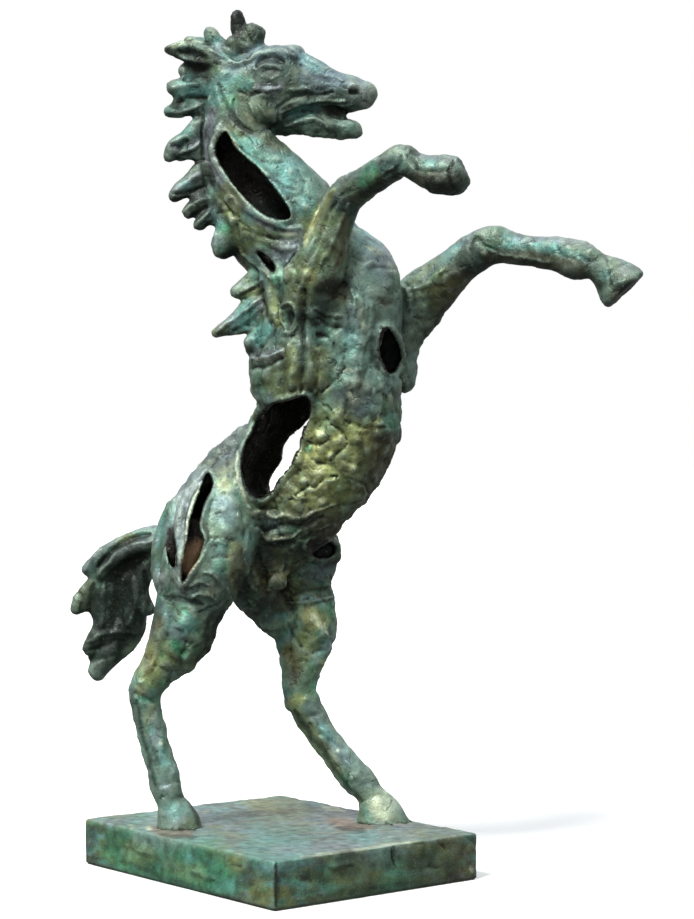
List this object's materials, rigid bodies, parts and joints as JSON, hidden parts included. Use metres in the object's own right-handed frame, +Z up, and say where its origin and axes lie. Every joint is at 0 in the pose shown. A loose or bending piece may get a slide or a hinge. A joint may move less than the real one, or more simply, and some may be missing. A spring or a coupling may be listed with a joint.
{
  "type": "rearing horse sculpture",
  "caption": "Weathered cast bronze of a rearing horse with open holes in its skin, flaming mane and ragged tail, on a rectangular slab.",
  "frame": {"origin": "centre of the slab's underside", "axes": "+Z up; +X along the slab's long sides, the way the horse heads; +Y along its short sides, towards the horse's left"},
  "size_m": [0.798, 0.4904, 1.2943],
  "materials": {
    "horse_bronze": "matt green and brown verdigris over cast bronze",
    "slab_bronze": "matt green verdigris with brown stains over cast bronze"
  },
  "bodies": {
    "root": {"horse": "horse_bronze", "slab": "slab_bronze"}
  },
  "joints": []
}
